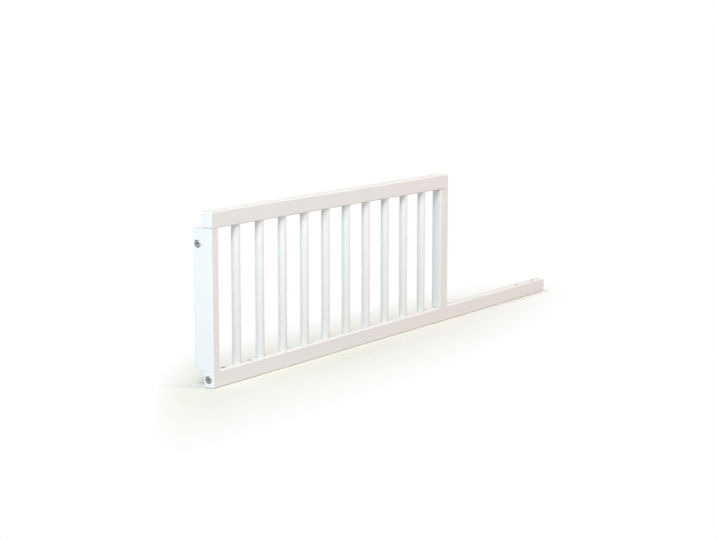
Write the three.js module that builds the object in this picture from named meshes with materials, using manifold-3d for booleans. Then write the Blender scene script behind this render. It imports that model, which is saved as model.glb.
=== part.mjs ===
// A cot bed's half-length guard rail in painted beech: ten round bars between two rails and two posts, all glued.
// Threaded inserts in the left post and in both ends of the long rail take the bolts that hold it to the bed.
// Millimetres, +Z up. X runs along the rails, Y from the front face to the back.
import * as THREE from 'three';
import { mergeVertices } from 'three/addons/utils/BufferGeometryUtils.js';
import Module from 'manifold-3d';

const wasm = await Module();
wasm.setup();

// The guard as a whole
const railLength = 1400;
const guardLength = 900;
const guardHeight = 350;

// Rails: both have the same section, and only the long edges and the corners are eased
const railHeight = 34;
const railDepth = 24;
const easedEdge = 3;
const cornerEdgeShare = 1.3;
const topCornerRadius = 12;

// Posts: the left one is a board that sticks out behind the rails
const leftPostWidth = 22;
const leftPostDepth = 46;
const rightPostWidth = 34;

// Bars: turned, with a tenon on each end
const barCount = 10;
const barDiameter = 18;
const barShoulder = 3;
const tenonLength = 14;
const tenonChamfer = 1;

// Glue line round every tenon, dowel and insert
const glueGap = 0.3;

// Dowels: one thick one at each end of the left post, a pair at each end of the right post
const thickDowelDiameter = 10;
const pairDowelDiameter = 8;
const pairDowelSpacing = 16;
const dowelInPost = 20;
const dowelInRail = 15;
const dowelChamfer = 1;
const woodOverInsert = 1.7;

// Vertical screw holes through the bottom rail, two at each end
const screwHoleDiameter = 10;
const screwHoleFromEnd = 47;
const screwHoleSpacing = 86;

// Threaded inserts: a flanged nut with a coarse outer thread and a hexagon socket to drive it
const flangeDiameter = 15.5;
const flangeThickness = 1.5;
const flangeChamfer = 0.4;
const insertLength = 13;
const threadCrestDiameter = 12;
const threadDepth = 1;
const threadTurns = 3;
const threadStart = 2;
const hexAcrossFlats = 6;
const hexDepth = 3;
const boltBoreDiameter = 5;
const insertRecess = 0.3;
const insertRunOut = 3;
const postInsertFromTop = 31;

// How far a cutter runs past the face that it opens
const overrun = 1;

// Facets
const edgeSegments = 4;
const cornerSegments = 3;
const barSides = 24;
const holeSides = 24;
const dowelSides = 16;
const hexSides = 6;

// Sizes that follow
const clearHeight = guardHeight - 2 * railHeight;
const railMiddleY = railDepth / 2;
const cornerRadius = easedEdge * cornerEdgeShare;
const tenonDiameter = barDiameter - 2 * barShoulder;
const barSpan = guardLength - leftPostWidth - rightPostWidth;
const barGap = (barSpan - barCount * barDiameter) / (barCount + 1);
const leftPostMiddleX = leftPostWidth / 2;
const leftPostOverhangMiddleY = (railDepth + leftPostDepth) / 2;
const rightPostMiddleX = guardLength - rightPostWidth / 2;
const insertBoreDiameter = threadCrestDiameter + 2 * glueGap;
const insertSeatDiameter = flangeDiameter + 2 * glueGap;
const insertSeatDepth = insertRecess + flangeThickness + glueGap;
const insertBoreDepth = insertRecess + insertLength + insertRunOut;
const dowelOverInsert = railHeight / 2 - insertBoreDiameter / 2 - woodOverInsert;
const pairDowelMiddles = [
  rightPostMiddleX - pairDowelSpacing / 2,
  rightPostMiddleX + pairDowelSpacing / 2,
];
const barMiddles = Array.from(
  { length: barCount },
  (_, index) => leftPostWidth + barGap + barDiameter / 2 + index * (barGap + barDiameter),
);
const screwHoleMiddles = [
  screwHoleFromEnd,
  screwHoleFromEnd + screwHoleSpacing,
  railLength - screwHoleFromEnd - screwHoleSpacing,
  railLength - screwHoleFromEnd,
];

const paintedBeech = { color: 0xf3efec, roughness: 0.42, metalness: 0 };
const bareBeech = { color: 0xd9b98c, roughness: 0.75, metalness: 0 };
const zincPlatedSteel = { color: 0xa9abab, roughness: 0.35, metalness: 1 };

// Cutting and joining

function asSolid(geometry) {
  const bare = geometry.clone();
  bare.deleteAttribute('normal');
  bare.deleteAttribute('uv');
  const merged = mergeVertices(bare);
  const corners = merged.index.array;
  const kept = [];
  for (let first = 0; first < corners.length; first += 3) {
    const [a, b, c] = corners.subarray(first, first + 3);
    if (a !== b && b !== c && c !== a) {
      kept.push(a, b, c);
    }
  }
  return new wasm.Manifold(new wasm.Mesh({
    numProp: 3,
    vertProperties: merged.attributes.position.array,
    triVerts: new Uint32Array(kept),
  }));
}

function asGeometry(solid) {
  const { vertProperties, triVerts } = solid.getMesh();
  const geometry = new THREE.BufferGeometry();
  geometry.setAttribute('position', new THREE.BufferAttribute(vertProperties, 3));
  geometry.setIndex(new THREE.BufferAttribute(triVerts, 1));
  geometry.computeVertexNormals();
  return geometry;
}

function cutAll(board, cutters) {
  const left = cutters.reduce((solid, cutter) => solid.subtract(asSolid(cutter)), asSolid(board));
  return asGeometry(left);
}

// Shapes that repeat

// A rectangle with its lower left corner at the origin; the radii go round from that corner.
function roundedRectangle(width, height, radii) {
  const [lowLeft, lowRight, highRight, highLeft] = radii;
  const quarter = Math.PI / 2;
  const shape = new THREE.Shape();
  shape.moveTo(lowLeft, 0);
  shape.lineTo(width - lowRight, 0);
  shape.absarc(width - lowRight, lowRight, lowRight, -quarter, 0, false);
  shape.lineTo(width, height - highRight);
  shape.absarc(width - highRight, height - highRight, highRight, 0, quarter, false);
  shape.lineTo(highLeft, height);
  shape.absarc(highLeft, height - highLeft, highLeft, quarter, 2 * quarter, false);
  shape.lineTo(0, lowLeft);
  shape.absarc(lowLeft, lowLeft, lowLeft, 2 * quarter, 3 * quarter, false);
  return shape;
}

// A rail drawn from the front and eased on every edge; its lower left front corner is at the origin.
function railBlank(length, highRightRadius) {
  const front = roundedRectangle(length, railHeight, [cornerRadius, cornerRadius, highRightRadius, cornerRadius]);
  const blank = new THREE.ExtrudeGeometry(front, {
    depth: railDepth - 2 * easedEdge,
    curveSegments: cornerSegments,
    bevelEnabled: true,
    bevelThickness: easedEdge,
    bevelSize: easedEdge,
    bevelOffset: -easedEdge,
    bevelSegments: edgeSegments,
  });
  blank.rotateX(Math.PI / 2);
  blank.translate(0, railDepth - easedEdge, 0);
  return blank;
}

// A post drawn from above: its long edges are eased and its ends are cut square to meet the rails.
function postBlank(width, depth) {
  const section = roundedRectangle(width, depth, [easedEdge, easedEdge, easedEdge, easedEdge]);
  return new THREE.ExtrudeGeometry(section, {
    depth: clearHeight,
    curveSegments: cornerSegments,
    bevelEnabled: false,
  });
}

// A round solid on the Z axis; the profile lists radius and height pairs from the lower end up.
function turned(profile, sides) {
  const points = profile.map(([radius, height]) => new THREE.Vector2(radius, height));
  const solid = new THREE.LatheGeometry(points, sides);
  solid.rotateX(Math.PI / 2);
  return solid;
}

function verticalCutter(diameter, x, y, low, high) {
  const cutter = new THREE.CylinderGeometry(diameter / 2, diameter / 2, high - low, holeSides);
  cutter.rotateX(Math.PI / 2);
  cutter.translate(x, y, (low + high) / 2);
  return cutter;
}

// A peg's socket is wider and deeper than the peg by the glue line.
function socketFromAbove(pegDiameter, pegDepth, x, y, face) {
  return verticalCutter(pegDiameter + 2 * glueGap, x, y, face - pegDepth - glueGap, face + overrun);
}

function socketFromBelow(pegDiameter, pegDepth, x, y, face) {
  return verticalCutter(pegDiameter + 2 * glueGap, x, y, face - overrun, face + pegDepth + glueGap);
}

// The stepped hole for an insert, with its mouth at height 0 and its bottom below.
function insertHole() {
  const seat = insertSeatDiameter / 2;
  const bore = insertBoreDiameter / 2;
  return turned([
    [0, -insertBoreDepth],
    [bore, -insertBoreDepth],
    [bore, -insertSeatDepth],
    [seat, -insertSeatDepth],
    [seat, overrun],
    [0, overrun],
  ], holeSides);
}

function insertHoleInLeftEnd(y, z) {
  const hole = insertHole();
  hole.rotateY(-Math.PI / 2);
  hole.translate(0, y, z);
  return hole;
}

function insertHoleInRightEnd(x, y, z) {
  const hole = insertHole();
  hole.rotateY(Math.PI / 2);
  hole.translate(x, y, z);
  return hole;
}

// The pieces

function bottomRail() {
  const middleZ = railHeight / 2;
  return cutAll(railBlank(railLength, cornerRadius), [
    ...barMiddles.map((x) => socketFromAbove(tenonDiameter, tenonLength, x, railMiddleY, railHeight)),
    ...pairDowelMiddles.map((x) => socketFromAbove(pairDowelDiameter, dowelInRail, x, railMiddleY, railHeight)),
    socketFromAbove(thickDowelDiameter, dowelOverInsert, leftPostMiddleX, railMiddleY, railHeight),
    ...screwHoleMiddles.map((x) => (
      verticalCutter(screwHoleDiameter, x, railMiddleY, -overrun, railHeight + overrun)
    )),
    insertHoleInLeftEnd(railMiddleY, middleZ),
    insertHoleInRightEnd(railLength, railMiddleY, middleZ),
  ]);
}

function topRail() {
  return cutAll(railBlank(guardLength, topCornerRadius), [
    ...barMiddles.map((x) => socketFromBelow(tenonDiameter, tenonLength, x, railMiddleY, 0)),
    ...pairDowelMiddles.map((x) => socketFromBelow(pairDowelDiameter, dowelInRail, x, railMiddleY, 0)),
    socketFromBelow(thickDowelDiameter, dowelInRail, leftPostMiddleX, railMiddleY, 0),
  ]);
}

function leftPost() {
  return cutAll(postBlank(leftPostWidth, leftPostDepth), [
    socketFromBelow(thickDowelDiameter, dowelInPost, leftPostMiddleX, railMiddleY, 0),
    socketFromAbove(thickDowelDiameter, dowelInPost, leftPostMiddleX, railMiddleY, clearHeight),
    insertHoleInLeftEnd(leftPostOverhangMiddleY, clearHeight - postInsertFromTop),
  ]);
}

function rightPost() {
  const offsets = [-pairDowelSpacing / 2, pairDowelSpacing / 2];
  const middleX = rightPostWidth / 2;
  return cutAll(postBlank(rightPostWidth, railDepth), offsets.flatMap((offset) => [
    socketFromBelow(pairDowelDiameter, dowelInPost, middleX + offset, railMiddleY, 0),
    socketFromAbove(pairDowelDiameter, dowelInPost, middleX + offset, railMiddleY, clearHeight),
  ]));
}

// The shaft stands at height 0 on its lower shoulder.
function bar() {
  const shaft = barDiameter / 2;
  const tenon = tenonDiameter / 2;
  const tip = tenon - tenonChamfer;
  return turned([
    [0, -tenonLength],
    [tip, -tenonLength],
    [tenon, tenonChamfer - tenonLength],
    [tenon, 0],
    [shaft, 0],
    [shaft, clearHeight],
    [tenon, clearHeight],
    [tenon, clearHeight + tenonLength - tenonChamfer],
    [tip, clearHeight + tenonLength],
    [0, clearHeight + tenonLength],
  ], barSides);
}

// A dowel crosses its glue joint at height 0.
function dowel(diameter, below, above) {
  const side = diameter / 2;
  const tip = side - dowelChamfer;
  return turned([
    [0, -below],
    [tip, -below],
    [side, dowelChamfer - below],
    [side, above - dowelChamfer],
    [tip, above],
    [0, above],
  ], dowelSides);
}

// The outer face of the flange is at height 0 and the barrel below it. The coarse thread is drawn as ridges.
function insert() {
  const bore = boltBoreDiameter / 2;
  const crest = threadCrestDiameter / 2;
  const root = crest - threadDepth;
  const flange = flangeDiameter / 2;
  const threadLow = threadStart - insertLength;
  const threadPitch = (-flangeThickness - threadLow) / threadTurns;
  const ridges = Array.from({ length: threadTurns }, (_, turn) => {
    const low = threadLow + turn * threadPitch;
    return [[crest, low + threadPitch / 2], [root, low + threadPitch]];
  }).flat();
  const body = turned([
    [bore, -insertLength],
    [root, -insertLength],
    [root, threadLow],
    ...ridges,
    [flange, -flangeThickness],
    [flange, -flangeChamfer],
    [flange - flangeChamfer, 0],
    [bore, 0],
    [bore, -insertLength],
  ], holeSides);
  const hexRadius = hexAcrossFlats / Math.sqrt(3);
  const socket = new THREE.CylinderGeometry(hexRadius, hexRadius, hexDepth + overrun, hexSides);
  socket.rotateX(Math.PI / 2);
  socket.translate(0, 0, (overrun - hexDepth) / 2);
  return cutAll(body, [socket]);
}

// The assembly, measured from the left end of the rails, their front face and the floor

const guardRail = new THREE.Group();
const bench = new THREE.Group();
bench.position.set(-railLength / 2, -leftPostDepth / 2, 0);
guardRail.add(bench);

function place(name, geometry, finish, x, y, z) {
  const piece = new THREE.Mesh(geometry, new THREE.MeshStandardMaterial(finish));
  piece.name = name;
  piece.position.set(x, y, z);
  bench.add(piece);
  return piece;
}

const topRailZ = railHeight + clearHeight;

place('bottom_rail', bottomRail(), paintedBeech, 0, 0, 0);
place('top_rail', topRail(), paintedBeech, 0, 0, topRailZ);
place('left_post', leftPost(), paintedBeech, 0, 0, railHeight);
place('right_post', rightPost(), paintedBeech, guardLength - rightPostWidth, 0, railHeight);

barMiddles.forEach((x, index) => {
  const number = String(index + 1).padStart(2, '0');
  place(`bar_${number}`, bar(), paintedBeech, x, railMiddleY, railHeight);
});

place(
  'left_post_dowel_bottom', dowel(thickDowelDiameter, dowelOverInsert, dowelInPost), bareBeech,
  leftPostMiddleX, railMiddleY, railHeight,
);
place(
  'left_post_dowel_top', dowel(thickDowelDiameter, dowelInPost, dowelInRail), bareBeech,
  leftPostMiddleX, railMiddleY, topRailZ,
);
['inner', 'outer'].forEach((side, index) => {
  const x = pairDowelMiddles[index];
  const lower = dowel(pairDowelDiameter, dowelInRail, dowelInPost);
  const upper = dowel(pairDowelDiameter, dowelInPost, dowelInRail);
  place(`right_post_dowel_bottom_${side}`, lower, bareBeech, x, railMiddleY, railHeight);
  place(`right_post_dowel_top_${side}`, upper, bareBeech, x, railMiddleY, topRailZ);
});

const postInsert = place(
  'insert_left_post', insert(), zincPlatedSteel,
  insertRecess, leftPostOverhangMiddleY, topRailZ - postInsertFromTop,
);
const leftInsert = place(
  'insert_rail_left', insert(), zincPlatedSteel,
  insertRecess, railMiddleY, railHeight / 2,
);
const rightInsert = place(
  'insert_rail_right', insert(), zincPlatedSteel,
  railLength - insertRecess, railMiddleY, railHeight / 2,
);
postInsert.rotation.y = -Math.PI / 2;
leftInsert.rotation.y = -Math.PI / 2;
rightInsert.rotation.y = Math.PI / 2;

export default guardRail;
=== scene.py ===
"""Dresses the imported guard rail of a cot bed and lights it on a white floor.

The visible pieces are built again here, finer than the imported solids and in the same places: two rails, two posts and
ten round bars in painted beech, fluted dowels in bare beech, and threaded inserts in zinc-plated steel.

Blender works in metres and so does every object here. Sizes are kept in millimetres, in the fields of the class that
uses them, and turned to metres where the mesh is made. X runs along the rails, Y from the front to the back, Z up.
"""

from __future__ import annotations

import logging
import math
from collections.abc import Callable, Sequence
from dataclasses import dataclass, field
from enum import Enum

import bmesh
import bpy
from mathutils import Matrix, Vector


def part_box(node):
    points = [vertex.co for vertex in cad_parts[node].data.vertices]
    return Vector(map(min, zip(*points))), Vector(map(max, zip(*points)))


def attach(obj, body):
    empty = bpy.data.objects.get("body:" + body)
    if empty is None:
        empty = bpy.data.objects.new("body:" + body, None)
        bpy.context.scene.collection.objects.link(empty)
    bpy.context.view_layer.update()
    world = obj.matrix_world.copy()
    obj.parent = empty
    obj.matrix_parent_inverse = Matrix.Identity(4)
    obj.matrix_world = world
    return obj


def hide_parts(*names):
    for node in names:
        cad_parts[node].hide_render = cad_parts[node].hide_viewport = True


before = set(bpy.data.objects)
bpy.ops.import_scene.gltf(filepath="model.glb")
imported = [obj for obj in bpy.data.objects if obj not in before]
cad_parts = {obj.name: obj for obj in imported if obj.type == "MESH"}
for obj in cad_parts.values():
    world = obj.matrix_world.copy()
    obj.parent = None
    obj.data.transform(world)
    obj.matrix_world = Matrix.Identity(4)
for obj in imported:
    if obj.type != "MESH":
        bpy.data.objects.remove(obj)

LOG = logging.getLogger("guard_rail")
MM = 0.001
BODY = "root"

# A unit vector's part along an axis: above the first it runs along the axis, below the second square to it.
ALONG = 0.99
SQUARE = 0.01
# The bevel tool's profile for a true arc.
ARC = 0.5

Radius = float | Callable[[float], float]
Station = tuple[float, Radius]


class Slot(Enum):
    """The record's material slots."""

    PAINTED_BEECH = "painted_beech"
    BARE_BEECH = "bare_beech"
    ZINC_PLATED_STEEL = "zinc_plated_steel"


class Grain(Enum):
    """The way a piece of beech was cut: which axis its grain follows."""

    ALONG_RAIL = 0
    UPRIGHT = 2


class Facing(Enum):
    """The way a hole's mouth faces."""

    UP = Matrix.Identity(4)
    DOWN = Matrix.Rotation(math.pi, 4, "X")
    LEFT = Matrix.Rotation(-math.pi / 2, 4, "Y")
    RIGHT = Matrix.Rotation(math.pi / 2, 4, "Y")


def linear(colour: str) -> tuple[float, float, float, float]:
    """Turns an sRGB colour into the linear one that shaders take, by the numbers of the sRGB standard.

    Args:
        colour: The colour as a hex string, such as "#F4F2EF".

    Returns:
        Linear red, green and blue, and an alpha of 1.
    """
    parts = [int(colour[place:place + 2], 16) / 255 for place in (1, 3, 5)]
    red, green, blue = [part / 12.92 if part <= 0.04045 else ((part + 0.055) / 1.055) ** 2.4 for part in parts]
    return red, green, blue, 1.0


def add_node(tree: bpy.types.NodeTree, kind: str, feeds: dict | None = None, **settings: object) -> bpy.types.Node:
    """Adds one node to a shader.

    Args:
        tree: The node tree that gets it.
        kind: The node's type, without the "ShaderNode" that they all start with.
        feeds: For an input's name or number, the output that it is linked from, or its plain value.
        **settings: Values for the node's own properties.

    Returns:
        The new node.
    """
    node = tree.nodes.new("ShaderNode" + kind)
    for name, value in settings.items():
        setattr(node, name, value)
    for name, source in (feeds or {}).items():
        if isinstance(source, bpy.types.NodeSocket):
            tree.links.new(source, node.inputs[name])
        else:
            node.inputs[name].default_value = source
    return node


def new_material(name: str) -> tuple[bpy.types.Material, bpy.types.NodeTree]:
    """Makes an empty node material.

    Args:
        name: The material's name.

    Returns:
        The material and its node tree.
    """
    material = bpy.data.materials.new(name)
    material.use_nodes = True
    material.node_tree.nodes.clear()
    return material, material.node_tree


@dataclass(frozen=True)
class PaintedBeech:
    """Beech under sprayed white satin paint.

    The paint hides the wood's colour and fills most of its grain. What is left for the eye is a soft satin gleam, a
    trace of the long grain as very shallow furrows, the fine orange peel of a sprayed coat, and slight clouds where
    the coat is thicker.
    """

    grain: Grain
    colour: str = "#F0EFED"
    cloud_colour: str = "#EDEBE9"
    roughness: float = 0.30
    roughness_swing: float = 0.05
    cloud_mm: float = 90.0
    # Octaves are the finer layers in a noise, and break_up is how much each of them adds to it.
    cloud_octaves: float = 2.0
    # Beech grain is about 0.5 mm wide. It is drawn wider, because that is far below one pixel of the render.
    grain_width_mm: float = 1.6
    grain_length_mm: float = 60.0
    grain_depth_mm: float = 0.02
    grain_octaves: float = 3.0
    grain_break_up: float = 0.6
    peel_mm: float = 2.2
    peel_depth_mm: float = 0.006
    peel_octaves: float = 1.0
    peel_break_up: float = 0.4
    ior: float = 1.5

    def material(self) -> bpy.types.Material:
        """Builds the shader.

        Returns:
            The material.
        """
        material, tree = new_material(f"white_satin_paint_on_beech_{self.grain.name.lower()}")
        place = add_node(tree, "TexCoord").outputs["Object"]
        stretch = [1 / (self.grain_width_mm * MM)] * 3
        stretch[self.grain.value] = 1 / (self.grain_length_mm * MM)
        along = add_node(tree, "Mapping", {"Vector": place, "Scale": stretch}).outputs["Vector"]
        furrows = add_node(tree, "TexNoise", {
            "Vector": along, "Scale": 1.0, "Detail": self.grain_octaves, "Roughness": self.grain_break_up,
        })
        peel = add_node(tree, "TexNoise", {
            "Vector": place, "Scale": 1 / (self.peel_mm * MM), "Detail": self.peel_octaves,
            "Roughness": self.peel_break_up,
        })
        clouds = add_node(tree, "TexNoise", {
            "Vector": place, "Scale": 1 / (self.cloud_mm * MM), "Detail": self.cloud_octaves,
        })
        coat = add_node(tree, "Mix", {
            "Factor": clouds.outputs["Fac"], "A": linear(self.colour), "B": linear(self.cloud_colour),
        }, data_type="RGBA")
        gleam = add_node(tree, "MapRange", {
            "Value": furrows.outputs["Fac"],
            "To Min": self.roughness - self.roughness_swing,
            "To Max": self.roughness + self.roughness_swing,
        })
        relief = add_node(tree, "Bump", {
            "Height": furrows.outputs["Fac"], "Strength": 1.0, "Distance": self.grain_depth_mm * MM,
        })
        skin = add_node(tree, "Bump", {
            "Height": peel.outputs["Fac"], "Strength": 1.0, "Distance": self.peel_depth_mm * MM,
            "Normal": relief.outputs["Normal"],
        })
        paint = add_node(tree, "BsdfPrincipled", {
            "Base Color": coat.outputs["Result"], "Roughness": gleam.outputs["Result"],
            "IOR": self.ior, "Normal": skin.outputs["Normal"],
        })
        add_node(tree, "OutputMaterial", {"Surface": paint.outputs["BSDF"]})
        return material


@dataclass(frozen=True)
class BareBeechAndHoleShade:
    """Unfinished beech, on the turned dowels and on the walls of holes that are drilled after painting.

    Pale greyish brown, matt, with short darker flecks along the grain. The colour is greyed and darker than bare beech,
    so that on the hole walls it is painted shade as well as bare wood.
    """

    # Greyed and darker than bare beech: on the hole walls this colour is painted shade as well as the wood's own.
    colour: str = "#D6CBBD"
    fleck_colour: str = "#B8A794"
    roughness: float = 0.72
    fleck_width_mm: float = 0.5
    fleck_length_mm: float = 5.0
    fleck_depth_mm: float = 0.03
    fleck_octaves: float = 4.0
    fleck_break_up: float = 0.65
    ior: float = 1.5

    def material(self) -> bpy.types.Material:
        """Builds the shader.

        Returns:
            The material.
        """
        material, tree = new_material("bare_beech")
        place = add_node(tree, "TexCoord").outputs["Object"]
        across = 1 / (self.fleck_width_mm * MM)
        stretch = (across, across, 1 / (self.fleck_length_mm * MM))
        along = add_node(tree, "Mapping", {"Vector": place, "Scale": stretch}).outputs["Vector"]
        flecks = add_node(tree, "TexNoise", {
            "Vector": along, "Scale": 1.0, "Detail": self.fleck_octaves, "Roughness": self.fleck_break_up,
        })
        shade = add_node(tree, "Mix", {
            "Factor": flecks.outputs["Fac"], "A": linear(self.colour), "B": linear(self.fleck_colour),
        }, data_type="RGBA")
        relief = add_node(tree, "Bump", {
            "Height": flecks.outputs["Fac"], "Strength": 1.0, "Distance": self.fleck_depth_mm * MM,
        })
        wood = add_node(tree, "BsdfPrincipled", {
            "Base Color": shade.outputs["Result"], "Roughness": self.roughness, "IOR": self.ior,
            "Normal": relief.outputs["Normal"],
        })
        add_node(tree, "OutputMaterial", {"Surface": wood.outputs["BSDF"]})
        return material


@dataclass(frozen=True)
class ZincPlatedSteel:
    """Turned steel with zinc plating.

    A grey metal with a soft broken gleam: the plating is finely crystalline, so it is neither mirror nor matt, its
    tint wanders a little, and a thin matt film on it scatters part of the light.
    """

    colour: str = "#A9AEB0"
    dull_colour: str = "#92979A"
    metallic: float = 0.8
    roughness: float = 0.30
    roughness_swing: float = 0.08
    spangle_mm: float = 1.2
    spangle_octaves: float = 3.0
    # Crystals of zinc are some 0.02 mm. They are drawn much coarser so that they break up the gleam.
    grit_mm: float = 0.25
    grit_depth_mm: float = 0.01
    grit_octaves: float = 1.0

    def material(self) -> bpy.types.Material:
        """Builds the shader.

        Returns:
            The material.
        """
        material, tree = new_material("zinc_plated_steel")
        place = add_node(tree, "TexCoord").outputs["Object"]
        spangle = add_node(tree, "TexNoise", {
            "Vector": place, "Scale": 1 / (self.spangle_mm * MM), "Detail": self.spangle_octaves,
        })
        tint = add_node(tree, "Mix", {
            "Factor": spangle.outputs["Fac"], "A": linear(self.colour), "B": linear(self.dull_colour),
        }, data_type="RGBA")
        gleam = add_node(tree, "MapRange", {
            "Value": spangle.outputs["Fac"],
            "To Min": self.roughness - self.roughness_swing,
            "To Max": self.roughness + self.roughness_swing,
        })
        grit = add_node(tree, "TexNoise", {
            "Vector": place, "Scale": 1 / (self.grit_mm * MM), "Detail": self.grit_octaves,
        })
        relief = add_node(tree, "Bump", {
            "Height": grit.outputs["Fac"], "Strength": 1.0, "Distance": self.grit_depth_mm * MM,
        })
        metal = add_node(tree, "BsdfPrincipled", {
            "Base Color": tint.outputs["Result"], "Metallic": self.metallic, "Roughness": gleam.outputs["Result"],
            "Normal": relief.outputs["Normal"],
        })
        add_node(tree, "OutputMaterial", {"Surface": metal.outputs["BSDF"]})
        return material


def round_wall(name: str, stations: Sequence[Station], columns: int, ring: bool = False) -> bpy.types.Mesh:
    """Makes a closed mesh round the Z axis.

    Args:
        name: The mesh's name.
        stations: Height and radius pairs in millimetres. A radius may also be a function of the angle in radians.
        columns: How many points go round at each station.
        ring: True for a piece with a hole through, whose last station joins the first. Otherwise both ends are
            closed with a flat face.

    Returns:
        The mesh, in metres.
    """
    shape = bmesh.new()
    rows = []
    for height, radius in stations:
        row = []
        for column in range(columns):
            angle = math.tau * column / columns
            reach = (radius(angle) if callable(radius) else radius) * MM
            row.append(shape.verts.new((reach * math.cos(angle), reach * math.sin(angle), height * MM)))
        rows.append(row)
    pairs = list(zip(rows, rows[1:]))
    if ring:
        pairs.append((rows[-1], rows[0]))
    else:
        shape.faces.new(rows[0])
        shape.faces.new(rows[-1])
    for low, high in pairs:
        for column in range(columns):
            after = (column + 1) % columns
            shape.faces.new((low[column], low[after], high[after], high[column]))
    bmesh.ops.recalc_face_normals(shape, faces=shape.faces)
    mesh = bpy.data.meshes.new(name)
    shape.to_mesh(mesh)
    shape.free()
    return mesh


def smooth(mesh: bpy.types.Mesh, sharp_deg: float = 38.0) -> None:
    """Shades a mesh smooth, but keeps its real corners.

    Args:
        mesh: The mesh.
        sharp_deg: Edges whose faces turn by more than this stay sharp.
    """
    mesh.shade_smooth()
    mesh.set_sharp_from_angle(angle=math.radians(sharp_deg))


def dress(name: str, mesh: bpy.types.Mesh, node: str) -> bpy.types.Object:
    """Turns a mesh into a piece of the object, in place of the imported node.

    Args:
        name: The piece's name.
        mesh: Its finished mesh, in the row frame, with its materials.
        node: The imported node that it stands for.

    Returns:
        The piece.
    """
    piece = bpy.data.objects.new(name, mesh)
    bpy.context.scene.collection.objects.link(piece)
    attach(piece, BODY)
    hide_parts(node)
    LOG.info("%s: %d faces, stands for %s", name, len(mesh.polygons), node)
    return piece


@dataclass(frozen=True)
class Hole:
    # Its walls are bare wood in a greyed, darker colour that also paints the hole's shade.
    """A round hole with an eased mouth, to be cut into a board after it is painted: bare wood shows inside.

    Attributes:
        mouth: The centre of the mouth, in metres.
        facing: The way the mouth faces.
        steps: Depth and radius pairs in millimetres, from the mouth inwards: the radius holds down to the depth.
        eased_mm: The radius that the mouth's edge is rounded to, or 0.
        through: True where the far end is a mouth too.
        overrun_mm: How far the cutter stands out of the face.
        lip_deg: How far the eased edge turns out.
        tolerance_mm: How far past the eased edge a wall has to lie to count as bare.
    """

    mouth: Vector
    facing: Facing
    steps: tuple[tuple[float, float], ...]
    eased_mm: float = 0.0
    through: bool = False
    overrun_mm: float = 0.6
    lip_deg: float = 70.0
    lip_steps: int = 4
    columns: int = 64
    tolerance_mm: float = 0.001

    def cutter(self) -> bpy.types.Mesh:
        """Makes the solid that cuts it. It leaves the board's second material on every wall but the eased edges.

        Returns:
            The cutter's mesh, in place.
        """
        walls = []
        inner_depth = 0.0
        for depth, radius in self.steps:
            walls = [(-depth, radius), (-inner_depth, radius), *walls]
            inner_depth = depth
        mouth = self._mouth(self.steps[0][1])
        walls = [*walls[:-1], *mouth]
        if self.through:
            far_end = -self.steps[-1][0]
            walls = [*[(far_end - height, radius) for height, radius in reversed(mouth)], *mouth]
        mesh = round_wall("cutter", walls, self.columns)
        for face in mesh.polygons:
            face.material_index = int(self._is_bare_and_shaded([mesh.vertices[corner].co.z / MM for corner in face.vertices]))
        mesh.transform(Matrix.Translation(self.mouth) @ self.facing.value)
        return mesh

    def _is_bare_and_shaded(self, heights: list[float]) -> bool:
        """Says whether a face of the wall lies deeper than the eased edge, from either mouth.

        Args:
            heights: The heights of the face's corners over the mouth, in millimetres.

        Returns:
            True for a face that shows bare wood, greyed darker as painted shade in the hole.
        """
        from_mouth = -min(heights)
        from_far_end = self.steps[-1][0] + max(heights) if self.through else math.inf
        return min(from_mouth, from_far_end) > self.eased_mm + self.tolerance_mm

    def _mouth(self, radius: float) -> list[Station]:
        """The wall from where its edge begins to turn out to clear of the face.

        Args:
            radius: The hole's radius at the mouth, in millimetres.

        Returns:
            Height and radius pairs, from inside the hole outwards.
        """
        if self.eased_mm == 0:
            return [(self.overrun_mm, radius)]
        turns = [math.radians(self.lip_deg * step / self.lip_steps) for step in range(self.lip_steps + 1)]
        lip = [
            (self.eased_mm * (math.sin(turn) - 1), radius + self.eased_mm * (1 - math.cos(turn))) for turn in turns
        ]
        height, reach = lip[-1]
        spread = (self.overrun_mm - height) * math.tan(turns[-1])
        return [*lip, (self.overrun_mm, reach + spread)]


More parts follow.
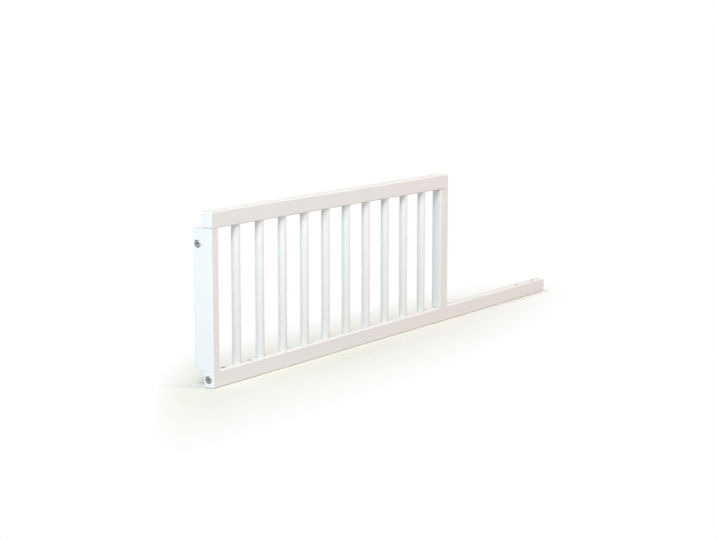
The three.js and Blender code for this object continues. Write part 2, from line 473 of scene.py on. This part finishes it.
@dataclass(frozen=True)
class Board:
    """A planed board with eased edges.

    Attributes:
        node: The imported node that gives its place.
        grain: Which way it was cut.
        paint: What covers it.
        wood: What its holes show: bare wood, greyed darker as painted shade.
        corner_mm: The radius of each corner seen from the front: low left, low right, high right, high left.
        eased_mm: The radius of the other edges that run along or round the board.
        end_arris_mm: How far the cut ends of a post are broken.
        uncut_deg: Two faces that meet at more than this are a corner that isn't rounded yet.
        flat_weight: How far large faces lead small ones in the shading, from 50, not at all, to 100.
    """

    node: str
    grain: Grain
    paint: bpy.types.Material
    wood: bpy.types.Material
    corner_mm: tuple[float, float, float, float] = (0.0, 0.0, 0.0, 0.0)
    eased_mm: float = 3.0
    end_arris_mm: float = 0.8
    corner_steps: int = 10
    edge_steps: int = 6
    arris_steps: int = 2
    uncut_deg: float = 80.0
    flat_weight: int = 100

    def blank(self) -> bmesh.types.BMesh:
        """Makes the board before any hole is cut.

        Returns:
            The board, in place.
        """
        low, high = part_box(self.node)
        shape = bmesh.new()
        bmesh.ops.create_cube(shape, size=1.0)
        shape.transform(Matrix.Translation((low + high) / 2) @ Matrix.Diagonal((*(high - low), 1)))
        if self.grain is Grain.ALONG_RAIL:
            self._round_corners(shape, (low + high) / 2)
            self._ease(shape, [edge for edge in shape.edges if self._borders_broad_face(edge)])
        else:
            self._ease(shape, [edge for edge in shape.edges if self._runs_along(edge, 2)])
            self._break_ends(shape)
        return shape

    def _round_corners(self, shape: bmesh.types.BMesh, middle: Vector) -> None:
        """Rounds the corners that show from the front, each by its own radius.

        Args:
            shape: The board.
            middle: Its centre.
        """
        for right, top, radius in zip((False, True, True, False), (False, False, True, True), self.corner_mm):
            edges = [
                edge for edge in shape.edges
                if self._runs_along(edge, 1)
                and (edge.verts[0].co.x > middle.x) == right
                and (edge.verts[0].co.z > middle.z) == top
                and abs(edge.calc_face_angle(0)) > math.radians(self.uncut_deg)
            ]
            self._bevel(shape, edges, radius, self.corner_steps)

    def _ease(self, shape: bmesh.types.BMesh, edges: list[bmesh.types.BMEdge]) -> None:
        """Rounds edges by the board's easing."""
        self._bevel(shape, edges, self.eased_mm, self.edge_steps)

    def _break_ends(self, shape: bmesh.types.BMesh) -> None:
        """Takes the sharp arris off a post's cut ends.

        Args:
            shape: The post.
        """
        edges = [
            edge for edge in shape.edges
            if any(abs(face.normal.z) > ALONG for face in edge.link_faces)
            and any(abs(face.normal.z) < SQUARE for face in edge.link_faces)
        ]
        self._bevel(shape, edges, self.end_arris_mm, self.arris_steps)

    @staticmethod
    def _bevel(shape: bmesh.types.BMesh, edges: list[bmesh.types.BMEdge], radius_mm: float, steps: int) -> None:
        """Rounds edges to a true arc.

        Args:
            shape: The board.
            edges: Which of its edges.
            radius_mm: The radius.
            steps: How many facets the arc has.
        """
        bmesh.ops.bevel(
            shape, geom=edges, offset=radius_mm * MM, offset_type="OFFSET", segments=steps, profile=ARC,
            affect="EDGES", clamp_overlap=False,
        )
        shape.normal_update()

    @staticmethod
    def _runs_along(edge: bmesh.types.BMEdge, axis: int) -> bool:
        """Says whether an edge runs along an axis."""
        span = edge.verts[1].co - edge.verts[0].co
        return abs(span[axis]) > ALONG * span.length

    @staticmethod
    def _borders_broad_face(edge: bmesh.types.BMEdge) -> bool:
        """Says whether an edge lies round the board's front or back."""
        facing = [abs(face.normal.y) for face in edge.link_faces]
        return max(facing) > ALONG and min(facing) < SQUARE

    def build(self, holes: Sequence[Hole]) -> bpy.types.Mesh:
        """Makes the board with its holes.

        Args:
            holes: What is cut into it.

        Returns:
            The finished mesh.
        """
        shape = self.blank()
        mesh = bpy.data.meshes.new(self.node + "_blank")
        shape.to_mesh(mesh)
        shape.free()
        mesh.materials.append(self.paint)
        mesh.materials.append(self.wood)
        return self._finish(self._cut(mesh, holes))

    def _cut(self, mesh: bpy.types.Mesh, holes: Sequence[Hole]) -> bpy.types.Mesh:
        """Cuts the holes out of the blank.

        Args:
            mesh: The blank.
            holes: What is cut into it.

        Returns:
            The board with its holes.
        """
        tool = bmesh.new()
        for hole in holes:
            tool.from_mesh(hole.cutter())
        tool_mesh = bpy.data.meshes.new("tool")
        tool.to_mesh(tool_mesh)
        tool.free()
        board, cutter = [bpy.data.objects.new(name, data) for name, data in (("board", mesh), ("tool", tool_mesh))]
        for thing in (board, cutter):
            bpy.context.scene.collection.objects.link(thing)
        difference = board.modifiers.new("holes", "BOOLEAN")
        difference.operation = "DIFFERENCE"
        difference.solver = "EXACT"
        difference.object = cutter
        cut = self._applied(board)
        bpy.data.objects.remove(board)
        bpy.data.objects.remove(cutter)
        return cut

    def _finish(self, mesh: bpy.types.Mesh) -> bpy.types.Mesh:
        """Shades the board so that its flat faces stay flat beside their round edges.

        Args:
            mesh: The board with its holes.

        Returns:
            The finished mesh, named for the board.
        """
        smooth(mesh)
        board = bpy.data.objects.new("board", mesh)
        bpy.context.scene.collection.objects.link(board)
        weighted = board.modifiers.new("flat_faces", "WEIGHTED_NORMAL")
        weighted.keep_sharp = True
        weighted.weight = self.flat_weight
        finished = self._applied(board)
        bpy.data.objects.remove(board)
        finished.name = self.node
        return finished

    @staticmethod
    def _applied(thing: bpy.types.Object) -> bpy.types.Mesh:
        """Returns the mesh that an object's modifiers make."""
        graph = bpy.context.evaluated_depsgraph_get()
        return bpy.data.meshes.new_from_object(thing.evaluated_get(graph), depsgraph=graph)


@dataclass
class Joinery:
    """The sizes of what joins the boards, shared by the pieces and the sockets that hold them.

    All are in millimetres. The insert is an M6 one: a flange, a barrel with a coarse thread for the wood, a
    hexagon socket that drives it, and a fine thread for the bolt.
    """

    glue_gap: float = 0.3
    tenon_radius: float = 6.0
    tenon_chamfer: float = 1.0
    screw_hole_radius: float = 5.0
    screw_hole_rim: float = 0.2
    screw_hole_from_end: float = 47.0
    screw_hole_spacing: float = 86.0
    rim: float = 0.5
    flange_radius: float = 7.75
    flange_thickness: float = 1.5
    insert_length: float = 13.0
    insert_recess: float = 0.3
    insert_run_out: float = 3.0
    crest_radius: float = 6.0

    def peg_hole(self, node: str, radius_mm: float, face_z: float, facing: Facing) -> Hole:
        """A blind hole for a tenon or a dowel.

        Args:
            node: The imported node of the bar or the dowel.
            radius_mm: The radius of what goes in.
            face_z: The height of the face that it goes into, in metres.
            facing: The way the mouth faces.

        Returns:
            The hole, larger than the peg by the glue gap.
        """
        low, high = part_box(node)
        depth = (face_z - low.z) / MM if facing is Facing.UP else (high.z - face_z) / MM
        mouth = Vector(((low.x + high.x) / 2, (low.y + high.y) / 2, face_z))
        return Hole(mouth, facing, ((depth + self.glue_gap, radius_mm + self.glue_gap),))

    def insert_hole(self, node: str, face_x: float, facing: Facing) -> Hole:
        """The stepped hole for a threaded insert.

        Args:
            node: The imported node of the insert.
            face_x: Where the face that it sits in lies along X, in metres.
            facing: The way the mouth faces.

        Returns:
            The hole.
        """
        low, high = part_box(node)
        mouth = Vector((face_x, (low.y + high.y) / 2, (low.z + high.z) / 2))
        seat = (self.insert_recess + self.flange_thickness + self.glue_gap, self.flange_radius + self.glue_gap)
        bore = (self.insert_recess + self.insert_length + self.insert_run_out, self.crest_radius + self.glue_gap)
        return Hole(mouth, facing, (seat, bore), eased_mm=self.rim)


@dataclass
class Rails:
    """The long bottom rail and the shorter top rail."""

    joinery: Joinery
    paint: bpy.types.Material
    wood: bpy.types.Material
    bars: list[str]
    dowel_radius_mm: dict[str, float]
    corner_mm: float = 3.9
    top_right_corner_mm: float = 12.0

    def build(self) -> None:
        """Builds and dresses both rails."""
        self._bottom()
        self._top()

    def _peg_holes(self, face_z: float, facing: Facing) -> list[Hole]:
        """The blind holes along one rail for the bars and the dowels that enter it.

        Args:
            face_z: The height of the face that they enter, in metres.
            facing: The way their mouths face.

        Returns:
            The holes.
        """
        pegs = {bar: self.joinery.tenon_radius for bar in self.bars}
        pegs.update(self.dowel_radius_mm)
        entering = [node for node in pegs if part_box(node)[0].z < face_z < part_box(node)[1].z]
        return [self.joinery.peg_hole(node, pegs[node], face_z, facing) for node in entering]

    def _bottom(self) -> None:
        """The bottom rail: pegs from above, an insert in each end and four screw holes."""
        node = "bottom_rail"
        low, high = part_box(node)
        joinery = self.joinery
        height_mm = (high.z - low.z) / MM
        outer = joinery.screw_hole_from_end * MM
        inner = outer + joinery.screw_hole_spacing * MM
        screw_holes = [
            Hole(
                Vector((x, (low.y + high.y) / 2, high.z)), Facing.UP, ((height_mm, joinery.screw_hole_radius),),
                eased_mm=joinery.screw_hole_rim, through=True,
            )
            for x in (low.x + outer, low.x + inner, high.x - inner, high.x - outer)
        ]
        holes = [
            *self._peg_holes(high.z, Facing.UP),
            *screw_holes,
            joinery.insert_hole("insert_rail_left", low.x, Facing.LEFT),
            joinery.insert_hole("insert_rail_right", high.x, Facing.RIGHT),
        ]
        corners = (self.corner_mm,) * 4
        mesh = Board(node, Grain.ALONG_RAIL, self.paint, self.wood, corners).build(holes)
        dress("rail_bottom_painted", mesh, node)

    def _top(self) -> None:
        """The top rail: pegs from below, and one well rounded corner."""
        node = "top_rail"
        low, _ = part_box(node)
        corners = (self.corner_mm, self.corner_mm, self.top_right_corner_mm, self.corner_mm)
        holes = self._peg_holes(low.z, Facing.DOWN)
        mesh = Board(node, Grain.ALONG_RAIL, self.paint, self.wood, corners).build(holes)
        dress("rail_top_painted", mesh, node)


@dataclass
class Posts:
    """The deep left post and the square right post, both cut flat to butt against the rails."""

    joinery: Joinery
    paint: bpy.types.Material
    wood: bpy.types.Material
    dowel_radius_mm: dict[str, float]

    def build(self) -> None:
        """Builds and dresses both posts."""
        for side in ("left", "right"):
            node = f"{side}_post"
            holes = self._dowel_holes(node)
            if side == "left":
                holes.append(self.joinery.insert_hole("insert_left_post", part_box(node)[0].x, Facing.LEFT))
            mesh = Board(node, Grain.UPRIGHT, self.paint, self.wood).build(holes)
            dress(f"post_{side}_painted", mesh, node)

    def _dowel_holes(self, node: str) -> list[Hole]:
        """The blind holes in a post's ends.

        Args:
            node: The post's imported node.

        Returns:
            One hole for each dowel that enters it.
        """
        low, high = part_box(node)
        holes = []
        for dowel, radius in self.dowel_radius_mm.items():
            if dowel.startswith(node):
                at_top = "_top" in dowel
                face_z, facing = (high.z, Facing.UP) if at_top else (low.z, Facing.DOWN)
                holes.append(self.joinery.peg_hole(dowel, radius, face_z, facing))
        return holes


@dataclass
class Bars:
    """The turned bars between the rails, with a tenon on each end."""

    joinery: Joinery
    paint: bpy.types.Material
    nodes: list[str]
    arris_mm: float = 0.4
    columns: int = 64
    arris_steps: int = 3

    def build(self) -> None:
        """Builds and dresses every bar."""
        for number, node in enumerate(self.nodes, start=1):
            low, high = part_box(node)
            mesh = round_wall(node, self._stations(low, high), self.columns)
            mesh.transform(Matrix.Translation(((low.x + high.x) / 2, (low.y + high.y) / 2, 0)))
            mesh.materials.append(self.paint)
            smooth(mesh)
            dress(f"bar_{number:02d}_painted", mesh, node)

    def _stations(self, low: Vector, high: Vector) -> list[Station]:
        """The turned outline of a bar, from the lower tenon's end up.

        Args:
            low: The bar's lowest corner.
            high: Its highest corner.

        Returns:
            Height and radius pairs, in millimetres.
        """
        shaft = (high.x - low.x) / 2 / MM
        tenon = self.joinery.tenon_radius
        chamfer = self.joinery.tenon_chamfer
        shoulders = (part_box("bottom_rail")[1].z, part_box("top_rail")[0].z)
        bottom, foot, head, top = [z / MM for z in (low.z, *shoulders, high.z)]
        turns = [step * math.pi / 2 / self.arris_steps for step in range(self.arris_steps + 1)]
        arris = [(self.arris_mm * (1 - math.cos(turn)), self.arris_mm * (1 - math.sin(turn))) for turn in turns]
        lower = [(foot + rise, shaft - cut) for rise, cut in arris]
        upper = [(head - rise, shaft - cut) for rise, cut in reversed(arris)]
        return [
            (bottom, tenon - chamfer), (bottom + chamfer, tenon), (foot, tenon),
            *lower, *upper,
            (head, tenon), (top - chamfer, tenon), (top, tenon - chamfer),
        ]


@dataclass
class Dowels:
    """The fluted dowels that join the posts to the rails."""

    wood: bpy.types.Material
    radius_mm: dict[str, float]
    chamfer_mm: float = 1.0
    flutes: int = 18
    flute_depth_mm: float = 0.25
    flute_sharpness: int = 2
    columns_per_flute: int = 6

    def build(self) -> None:
        """Builds and dresses every dowel."""
        for node, radius in self.radius_mm.items():
            low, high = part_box(node)
            bottom, top = low.z / MM, high.z / MM
            tip = radius - self.chamfer_mm
            stations = [
                (bottom, tip), (bottom + self.chamfer_mm, self._fluted(radius)),
                (top - self.chamfer_mm, self._fluted(radius)), (top, tip),
            ]
            mesh = round_wall(node, stations, self.flutes * self.columns_per_flute)
            mesh.transform(Matrix.Translation(((low.x + high.x) / 2, (low.y + high.y) / 2, 0)))
            mesh.materials.append(self.wood)
            smooth(mesh)
            dress(f"{node}_fluted", mesh, node)

    def _fluted(self, radius: float) -> Callable[[float], float]:
        """A radius that dips into each flute and never passes the dowel's own."""
        dip, sharpness = self.flute_depth_mm, self.flute_sharpness
        return lambda angle: radius - dip * (0.5 - 0.5 * math.cos(self.flutes * angle)) ** sharpness


@dataclass
class Inserts:
    """The threaded inserts: flange, coarse outer thread, hexagon socket and M6 thread.

    Heights are measured from the flange's outer face, which is 0, into the wood, in millimetres.
    """

    joinery: Joinery
    metal: bpy.types.Material
    rim_round_mm: float = 0.25
    dome_deg: float = 16.0
    flat_ring_mm: float = 4.3
    mouth_chamfer_mm: float = 0.35
    root_radius_mm: float = 5.0
    coarse_turns: float = 3.0
    coarse_start_mm: float = 2.0
    hex_apothem_mm: float = 3.0
    hex_depth_mm: float = 3.0
    bolt_core_radius_mm: float = 2.5
    bolt_thread_depth_mm: float = 0.5
    bolt_pitch_mm: float = 1.0
    flank_steepness: float = 1.15
    columns: int = 72
    rows_per_turn: int = 8
    rim_steps: int = 4
    places: dict[str, Facing] = field(default_factory=lambda: {
        "insert_left_post": Facing.LEFT,
        "insert_rail_left": Facing.LEFT,
        "insert_rail_right": Facing.RIGHT,
    })

    def build(self) -> None:
        """Builds and dresses every insert."""
        for node, facing in self.places.items():
            low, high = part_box(node)
            face_x = low.x if facing is Facing.LEFT else high.x
            mesh = round_wall(node, self._stations(), self.columns, ring=True)
            middle = Vector((face_x, (low.y + high.y) / 2, (low.z + high.z) / 2))
            mesh.transform(Matrix.Translation(middle) @ facing.value)
            mesh.materials.append(self.metal)
            smooth(mesh)
            dress(f"{node}_threaded", mesh, node)

    def _stations(self) -> list[Station]:
        """The wall from the barrel's far end, up its outside, over the flange and down the bore."""
        return [*self._coarse_thread(), *self._flange(), *self._socket(), *self._bolt_thread()]

    def _ridge(self, core: float, depth: float, height: float, pitch: float) -> Callable[[float], float]:
        """A helical thread's radius at one height.

        Args:
            core: The radius between the ridges, in millimetres.
            depth: How far the ridge stands out from it.
            height: The height, from where the thread starts.
            pitch: The height of one turn.

        Returns:
            The radius as a function of the angle.
        """
        def radius(angle: float) -> float:
            """The radius at an angle: a pointed ridge once in each turn."""
            phase = (height / pitch - angle / math.tau) % 1.0
            return core + depth * max(0.0, 1.0 - abs(2.0 * phase - 1.0) * self.flank_steepness)
        return radius

    def _coarse_thread(self) -> list[Station]:
        """The outer thread that bites into the wood.

        Returns:
            Height and radius pairs, from the barrel's far end up.
        """
        length = self.joinery.insert_length
        depth = self.joinery.crest_radius - self.root_radius_mm
        run = length - self.coarse_start_mm - self.joinery.flange_thickness
        pitch = run / self.coarse_turns
        rows = round(self.coarse_turns * self.rows_per_turn)
        start = self.coarse_start_mm - length
        thread = [
            (start + run * row / rows, self._ridge(self.root_radius_mm, depth, run * row / rows, pitch))
            for row in range(1, rows)
        ]
        return [(-length, self.root_radius_mm), (start, self.root_radius_mm), *thread]

    def _flange(self) -> list[Station]:
        """The flange: a round rim, then a low cone up to a flat ring round the socket.

        Returns:
            Height and radius pairs, from the barrel out and over to the ring.
        """
        under = -self.joinery.flange_thickness
        reach = self.joinery.flange_radius
        slope = math.radians(self.dome_deg)
        rim_top = -(reach - self.rim_round_mm - self.flat_ring_mm) * math.tan(slope)
        last = math.pi / 2 - slope
        turns = [step * last / self.rim_steps for step in range(self.rim_steps + 1)]
        rim = [
            (rim_top + self.rim_round_mm * (math.sin(turn) - 1), reach - self.rim_round_mm * (1 - math.cos(turn)))
            for turn in turns
        ]
        return [(under, self.root_radius_mm), (under, reach), *rim, (0.0, self.flat_ring_mm)]

    def _hexagon(self, grow_mm: float = 0.0) -> Callable[[float], float]:
        """The socket's wall: a hexagon with corners to the front and back.

        Args:
            grow_mm: How far its sides move out, for the chamfered mouth.

        Returns:
            Its radius as a function of the angle.
        """
        side = math.pi / 3
        apothem = self.hex_apothem_mm + grow_mm
        return lambda angle: apothem / math.cos(angle % side - side / 2)

    def _socket(self) -> list[Station]:
        """The hexagon socket with a chamfered mouth.

        Returns:
            Height and radius pairs, from the mouth down.
        """
        return [
            (0.0, self._hexagon(self.mouth_chamfer_mm)),
            (-self.mouth_chamfer_mm, self._hexagon()),
            (-self.hex_depth_mm, self._hexagon()),
        ]

    def _bolt_thread(self) -> list[Station]:
        """The thread that takes the bolt.

        Returns:
            Height and radius pairs, from the socket's floor to the barrel's far end.
        """
        length = self.joinery.insert_length
        top = -self.hex_depth_mm
        run = length + top
        rows = round(run / self.bolt_pitch_mm * self.rows_per_turn)
        core = self.bolt_core_radius_mm
        return [
            (top - run * row / rows, self._ridge(core, self.bolt_thread_depth_mm, run * row / rows, self.bolt_pitch_mm))
            for row in range(rows + 1)
        ]


@dataclass(frozen=True)
class Lamp:
    """A square soft box.

    Attributes:
        name: Its name.
        place: Where it stands, in metres.
        side: The length of its side, in metres.
        colour: Its colour, as sRGB hex.
        watts: Its power.
        gleams: False for a lamp that no glossy surface mirrors.
        aim: The point that it faces, in metres.
    """

    name: str
    place: tuple[float, float, float]
    side: float
    colour: str
    watts: float
    gleams: bool = True
    aim: tuple[float, float, float] = (0.0, 0.0, 0.15)

    def build(self) -> None:
        """Adds the lamp to the scene."""
        data = bpy.data.lights.new(self.name, "AREA")
        data.shape = "SQUARE"
        data.size = self.side
        data.color = linear(self.colour)[:3]
        data.energy = self.watts
        lamp = bpy.data.objects.new(self.name, data)
        lamp.location = self.place
        lamp.rotation_euler = (Vector(self.aim) - Vector(self.place)).to_track_quat("-Z", "Y").to_euler()
        lamp.visible_glossy = self.gleams
        bpy.context.scene.collection.objects.link(lamp)


@dataclass
class Studio:
    """A white floor without an end, a white sky and six soft lamps.

    As in the photograph, the light is cool from the left and warm from the front and the right. The lamp behind is
    low and gives no glare: it keeps the back from going dull and hardly reaches what the photograph shows.
    """

    floor_side: float = 60.0
    floor_colour: str = "#F0EFE5"
    # The paper throws less light back than it seems to, because in a studio it ends a little way off.
    bounce_colour: str = "#C8C7C5"
    # Away from the rail, the shade on the paper fades to plain white. Of each pair, in metres, the first is where it
    # is whole and the second where it is gone: to the left and the right along the slant, which lies askew to the
    # rails, and across along Y, where it fades as fast to the front as to the back.
    slant: tuple[float, float, float] = (1.0, -1.22, 0.0)
    fade_left: tuple[float, float] = (-0.74, -0.86)
    fade_right: tuple[float, float] = (-0.2, 0.85)
    fade_across: tuple[float, float] = (-0.03, 0.25)
    # Close round the foot of the bottom rail, given by its middle and half its size, the shade stays whole: up to the
    # first distance of contact. From there to the second, in metres, it passes into the fade.
    foot_middle: tuple[float, float, float] = (0.0, -0.011, 0.0)
    foot_half: tuple[float, float, float] = (0.7, 0.012, 0.0)
    contact: tuple[float, float] = (0.004, 0.024)
    sky_colour: str = "#FFFFFF"
    sky_strength: float = 0.20
    lamps: tuple[Lamp, ...] = (
        Lamp("lamp_cool_left_back", (-4.67, 1.25, 1.44), 1.8, "#F0FAFF", 26.0),
        Lamp("lamp_cool_left_front", (-4.84, -0.68, 1.19), 1.8, "#D9EAFF", 69.0),
        Lamp("lamp_key_high_left", (-3.26, -1.52, 3.62), 1.8, "#F1FFFF", 123.0),
        Lamp("lamp_warm_front", (1.28, -4.19, 2.58), 1.8, "#FFEBE3", 99.0),
        Lamp("lamp_warm_high_right", (4.13, -0.73, 2.87), 1.8, "#FFE4D4", 38.0),
        Lamp("lamp_low_right_back", (3.14, 3.75, 1.19), 1.8, "#FFFAF5", 110.0, gleams=False),
    )

    def build(self) -> None:
        """Adds the floor, the sky and the lamps."""
        self._floor()
        self._sky()
        for lamp in self.lamps:
            lamp.build()
        bpy.context.scene.view_settings.view_transform = "Standard"

    def _floor(self) -> None:
        """The floor, endless to the eye."""
        half = self.floor_side / 2
        mesh = bpy.data.meshes.new("floor")
        corners = [(-half, -half, 0), (half, -half, 0), (half, half, 0), (-half, half, 0)]
        mesh.from_pydata(corners, [], [(0, 1, 2, 3)])
        mesh.materials.append(self._paper())
        floor = bpy.data.objects.new("floor", mesh)
        bpy.context.scene.collection.objects.link(floor)

    def _paper(self) -> bpy.types.Material:
        """Matt white background paper, which takes the rail's shadow and fades to plain white away from it.

        Returns:
            The material.
        """
        material, tree = new_material("matt_white_background_paper")
        seen = self._seen(tree)
        tint = add_node(tree, "Mix", {
            "Factor": seen, "A": linear(self.bounce_colour), "B": linear(self.floor_colour),
        }, data_type="RGBA").outputs["Result"]
        matt = add_node(tree, "BsdfDiffuse", {"Color": tint}).outputs["BSDF"]
        white = add_node(tree, "Emission", {"Color": linear(self.sky_colour)}).outputs["Emission"]
        place = add_node(tree, "TexCoord").outputs["Object"]
        faded, clear = self._faded(tree, place), self._clear_of_foot(tree, place)
        kept = add_node(tree, "Math", {0: faded, 1: clear}, operation="MULTIPLY").outputs[0]
        share = add_node(tree, "Math", {0: kept, 1: seen}, operation="MULTIPLY").outputs[0]
        both = add_node(tree, "MixShader", {0: share, 1: matt, 2: white}).outputs["Shader"]
        add_node(tree, "OutputMaterial", {"Surface": both})
        return material

    def _faded(self, tree: bpy.types.NodeTree, place: bpy.types.NodeSocket) -> bpy.types.NodeSocket:
        """How far the shade on the paper has faded away from the rail.

        Args:
            tree: The paper's node tree.
            place: The point on the floor, in metres.

        Returns:
            0 where the shade is whole, up to 1 where it is gone.
        """
        along = add_node(tree, "VectorMath", {0: place, 1: self.slant}, operation="DOT_PRODUCT").outputs["Value"]
        across = add_node(tree, "SeparateXYZ", {"Vector": place}).outputs["Y"]
        parts: dict[str, bpy.types.NodeSocket] = {}
        for part, value, (start, end), one_way in (
            ("X", along, self.fade_left, True), ("Y", along, self.fade_right, True),
            ("Z", across, self.fade_across, False),
        ):
            span = {"Value": value, "From Min": start, "From Max": end}
            parts[part] = add_node(tree, "MapRange", span, clamp=one_way).outputs["Result"]
        way = add_node(tree, "CombineXYZ", parts).outputs["Vector"]
        distance = add_node(tree, "VectorMath", {0: way}, operation="LENGTH").outputs["Value"]
        return add_node(tree, "MapRange", {"Value": distance}).outputs["Result"]

    def _clear_of_foot(self, tree: bpy.types.NodeTree, place: bpy.types.NodeSocket) -> bpy.types.NodeSocket:
        """How clear a point on the floor is of the bottom rail's foot, by its distance from that rectangle.

        Args:
            tree: The paper's node tree.
            place: The point on the floor, in metres.

        Returns:
            0 close to the foot, up to 1 clear of it.
        """
        aside = add_node(tree, "VectorMath", {0: place, 1: self.foot_middle}, operation="SUBTRACT").outputs["Vector"]
        apart = add_node(tree, "VectorMath", {0: aside}, operation="ABSOLUTE").outputs["Vector"]
        past = add_node(tree, "VectorMath", {0: apart, 1: self.foot_half}, operation="SUBTRACT").outputs["Vector"]
        outside = add_node(tree, "VectorMath", {0: past, 1: (0.0, 0.0, 0.0)}, operation="MAXIMUM").outputs["Vector"]
        away = add_node(tree, "VectorMath", {0: outside}, operation="LENGTH").outputs["Value"]
        return add_node(tree, "MapRange", {
            "Value": away, "From Min": self.contact[0], "From Max": self.contact[1],
        }).outputs["Result"]

    @staticmethod
    def _seen(tree: bpy.types.NodeTree) -> bpy.types.NodeSocket:
        """Tells what is looked at from the light that falls.

        Args:
            tree: The node tree of the floor or the sky.

        Returns:
            1 for what the camera sees straight, in a reflection or through glass, and 0 for light that falls.
        """
        path = add_node(tree, "LightPath").outputs
        pair = add_node(tree, "Math", {
            0: path["Is Camera Ray"], 1: path["Is Glossy Ray"],
        }, operation="MAXIMUM").outputs[0]
        return add_node(tree, "Math", {0: pair, 1: path["Is Transmission Ray"]}, operation="MAXIMUM").outputs[0]

    def _sky(self) -> None:
        """A plain sky, white where it is seen and dimmer as a light."""
        world = bpy.data.worlds.new("white_sky")
        world.use_nodes = True
        tree = world.node_tree
        tree.nodes.clear()
        strength = add_node(tree, "MapRange", {
            "Value": self._seen(tree), "To Min": self.sky_strength, "To Max": 1.0,
        }).outputs["Result"]
        sky = add_node(tree, "Background", {"Color": linear(self.sky_colour), "Strength": strength})
        add_node(tree, "OutputWorld", {"Surface": sky.outputs["Background"]})
        bpy.context.scene.world = world


@dataclass(frozen=True)
class PhotographCamera:
    """The camera, at the place and angle that the photograph was taken from.

    Attributes:
        place_mm: Where it is, in the row frame.
        yaw_deg: How far it is turned from +Y towards +X.
        pitch_deg: How far it looks up.
        roll_deg: How far it leans.
        focal_px: Its focal length, in pixels of the photograph.
        width_px: The photograph's width.
        sensor_mm: The width of its sensor, to which the focal length is turned.
        sees_from: The nearest distance that it shows, in metres.
        sees_to: The farthest.
    """

    place_mm: tuple[float, float, float] = (-3270.98, -2062.41, 744.92)
    yaw_deg: float = 56.522
    pitch_deg: float = -8.836
    roll_deg: float = 0.034
    focal_px: float = 1708.5
    width_px: float = 716.0
    sensor_mm: float = 36.0
    sees_from: float = 0.1
    sees_to: float = 200.0

    def build(self) -> None:
        """Adds the camera and makes it the scene's."""
        data = bpy.data.cameras.new("camera")
        data.sensor_fit = "HORIZONTAL"
        data.sensor_width = self.sensor_mm
        data.lens = self.focal_px / self.width_px * self.sensor_mm
        data.clip_start = self.sees_from
        data.clip_end = self.sees_to
        camera = bpy.data.objects.new("camera", data)
        turn = Matrix.Rotation(math.radians(-self.yaw_deg), 4, "Z")
        tilt = Matrix.Rotation(math.radians(90 + self.pitch_deg), 4, "X")
        lean = Matrix.Rotation(math.radians(self.roll_deg), 4, "Z")
        camera.matrix_world = Matrix.Translation(Vector(self.place_mm) * MM) @ turn @ tilt @ lean
        bpy.context.scene.collection.objects.link(camera)
        bpy.context.scene.camera = camera


@dataclass
class GuardRail:
    """The whole object: rails, posts, bars, dowels and inserts."""

    joinery: Joinery = field(default_factory=Joinery)
    thick_dowel_radius_mm: float = 5.0
    pair_dowel_radius_mm: float = 4.0

    def build(self) -> None:
        """Builds every sub-assembly in order."""
        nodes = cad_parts
        bars = sorted(node for node in nodes if node.startswith("bar_"))
        dowels = {
            node: self.thick_dowel_radius_mm if node.startswith("left_post") else self.pair_dowel_radius_mm
            for node in sorted(nodes) if "_dowel_" in node
        }
        level_paint = PaintedBeech(Grain.ALONG_RAIL).material()
        upright_paint = PaintedBeech(Grain.UPRIGHT).material()
        wood = BareBeechAndHoleShade().material()
        Rails(self.joinery, level_paint, wood, bars, dowels).build()
        Posts(self.joinery, upright_paint, wood, dowels).build()
        Bars(self.joinery, upright_paint, bars).build()
        Dowels(wood, dowels).build()
        Inserts(self.joinery, ZincPlatedSteel().material()).build()


def main() -> None:
    """Builds the camera, the studio and the guard rail, and reports each piece."""
    logging.basicConfig(level=logging.INFO, format="%(name)s: %(message)s")
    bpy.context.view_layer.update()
    PhotographCamera().build()
    Studio().build()
    GuardRail().build()


if __name__ == "__main__":
    main()
